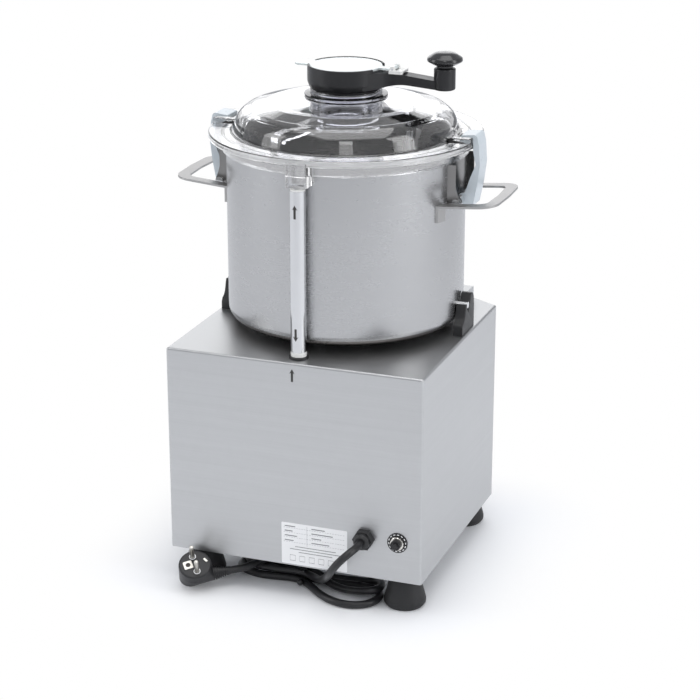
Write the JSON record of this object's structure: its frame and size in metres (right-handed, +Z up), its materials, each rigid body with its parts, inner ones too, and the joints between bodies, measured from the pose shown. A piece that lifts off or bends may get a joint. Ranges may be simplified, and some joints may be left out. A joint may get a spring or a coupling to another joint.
{
  "type": "meat bowl cutter",
  "caption": "Tabletop bowl cutter: steel motor housing on rubber feet, lift-off steel bowl with sickle blades, and a latched clear lid with a hand-cranked scraper.",
  "frame": {"origin": "on the floor, midway across the width and depth of the machine without its mains lead", "axes": "+Z up, -Y towards the operator and the controls, +Y towards the rear face with the mains lead, +X to the right of the operator"},
  "size_m": [0.3634, 0.3536, 0.567],
  "materials": {
    "steel": "satin brushed stainless steel",
    "rubber": "black rubber",
    "black": "black moulded plastic",
    "green": "green gloss plastic",
    "red": "red gloss plastic",
    "cast": "cast aluminium",
    "iron": "laminated steel and copper windings",
    "polished": "polished stainless steel",
    "board": "circuit board with an aluminium heat sink",
    "white": "white moulded plastic",
    "grey": "light grey moulded plastic",
    "blade_steel": "ground hardened stainless steel",
    "clear": "clear polycarbonate",
    "seal": "pale silicone rubber",
    "milky": "milky translucent polyethylene",
    "bright": "nickel-plated brass",
    "pvc": "black flexible sheath"
  },
  "bodies": {
    "base": {"housing": "steel", "base_plate": "steel", "foot_rear_left": "rubber", "foot_rear_right": "rubber", "foot_front_left": "rubber", "foot_front_right": "rubber", "control_hood": "steel", "control_bodies": "black", "drive_boss": "steel", "motor_frame": "cast", "motor_case": "cast", "stator": "iron", "bearings": "polished", "circuit_board": "board", "interlock_switch": "black", "rod_seat": "black", "bowl_guides": "black", "gland": "black", "breaker": "black", "breaker_nut": "bright", "cord_lead": "pvc", "cord_tail": "pvc", "cord_hank": "pvc", "cord_tie": "black", "plug_body": "pvc", "plug_pins": "bright"},
    "start": {"start_button": "green"},
    "stop": {"stop_button": "red"},
    "pulse": {"pulse_button": "black"},
    "dial": {"speed_dial": "black"},
    "spindle": {"rotor": "iron", "fan": "black", "shaft": "polished"},
    "plunger": {"switch_plunger": "white"},
    "reset": {"breaker_button": "black"},
    "bowl_unit": {"bowl": "steel", "bowl_pins": "polished", "handles": "steel", "latch_brackets": "steel", "latch_pins": "polished", "interlock_tube": "polished", "tube_bushes": "white", "springs": "polished"},
    "rod": {"push_rod": "polished"},
    "right_latch": {"latch_right": "grey"},
    "left_latch": {"latch_left": "grey"},
    "cutter": {"blade_hub": "white", "blades": "blade_steel", "blade_clamp": "white"},
    "lid_unit": {"lid": "clear", "lid_gasket": "seal", "collar": "clear"},
    "crank_unit": {"crank": "black", "crank_pins": "polished", "flap_clip": "white", "scraper_carrier": "white", "scraper_blades": "seal"},
    "grip_unit": {"grip": "black"},
    "flap_unit": {"flap": "milky"}
  },
  "joints": [
    {"name": "start_press", "type": "slide", "parent": "base", "child": "start", "axis": [0, 1, 0], "range_m": [0, 0.003], "stiffness_N_per_m": 400, "springref_m": -0.002},
    {"name": "stop_press", "type": "slide", "parent": "base", "child": "stop", "axis": [0, 1, 0], "range_m": [0, 0.003], "stiffness_N_per_m": 400, "springref_m": -0.002},
    {"name": "pulse_press", "type": "slide", "parent": "base", "child": "pulse", "axis": [0, 1, 0], "range_m": [0, 0.003], "stiffness_N_per_m": 400, "springref_m": -0.002},
    {"name": "dial_turn", "type": "hinge", "parent": "base", "child": "dial", "pos_m": [-0.072, -0.13, 0.23], "axis": [0, -1, 0], "range_deg": [0, 270]},
    {"name": "spindle_spin", "type": "hinge", "parent": "base", "child": "spindle", "pos_m": [0, -0.0145, 0.2], "axis": [0, 0, 1], "continuous": true},
    {"name": "bowl_lift", "type": "slide", "parent": "base", "child": "bowl_unit", "axis": [0, 0, 1], "range_m": [0, 0.12]},
    {"name": "cutter_spin", "type": "hinge", "parent": "bowl_unit", "child": "cutter", "pos_m": [0, -0.0145, 0.3], "axis": [0, 0, 1], "continuous": true},
    {"name": "lid_lift", "type": "slide", "parent": "bowl_unit", "child": "lid_unit", "axis": [0, 0, 1], "range_m": [0, 0.018]},
    {"name": "right_latch_swing", "type": "hinge", "parent": "bowl_unit", "child": "right_latch", "pos_m": [0.1333, -0.0145, 0.416], "axis": [0, 1, 0], "range_deg": [0, 48.5]},
    {"name": "left_latch_swing", "type": "hinge", "parent": "bowl_unit", "child": "left_latch", "pos_m": [-0.1333, -0.0145, 0.416], "axis": [0, -1, 0], "range_deg": [0, 48.5]},
    {"name": "rod_rise", "type": "slide", "parent": "bowl_unit", "child": "rod", "axis": [0, 0, 1], "range_m": [0, 0.005]},
    {"name": "plunger_rise", "type": "slide", "parent": "base", "child": "plunger", "axis": [0, 0, 1], "range_m": [0, 0.005]},
    {"name": "crank_spin", "type": "hinge", "parent": "lid_unit", "child": "crank_unit", "pos_m": [0, -0.0145, 0.522], "axis": [0, 0, 1], "continuous": true},
    {"name": "grip_spin", "type": "hinge", "parent": "crank_unit", "child": "grip_unit", "pos_m": [-0.1087, -0.0145, 0.55], "axis": [0, 0, 1], "continuous": true},
    {"name": "flap_hinge", "type": "hinge", "parent": "crank_unit", "child": "flap_unit", "pos_m": [-0.054, -0.0145, 0.5456], "axis": [0, -1, 0], "range_deg": [0, 110]},
    {"name": "reset_slide", "type": "slide", "parent": "base", "child": "reset", "axis": [0, 1, 0], "range_m": [0, 0.004]}
  ],
  "couplings": [
    {"joint": "cutter_spin", "follows": "spindle_spin", "ratio": 1},
    {"joint": "right_latch_swing", "follows": "lid_lift", "rad_per_m": 46.542},
    {"joint": "left_latch_swing", "follows": "lid_lift", "rad_per_m": 46.542},
    {"joint": "rod_rise", "follows": "lid_lift", "ratio": 0.2777},
    {"joint": "plunger_rise", "follows": "lid_lift", "ratio": 0.2777}
  ]
}
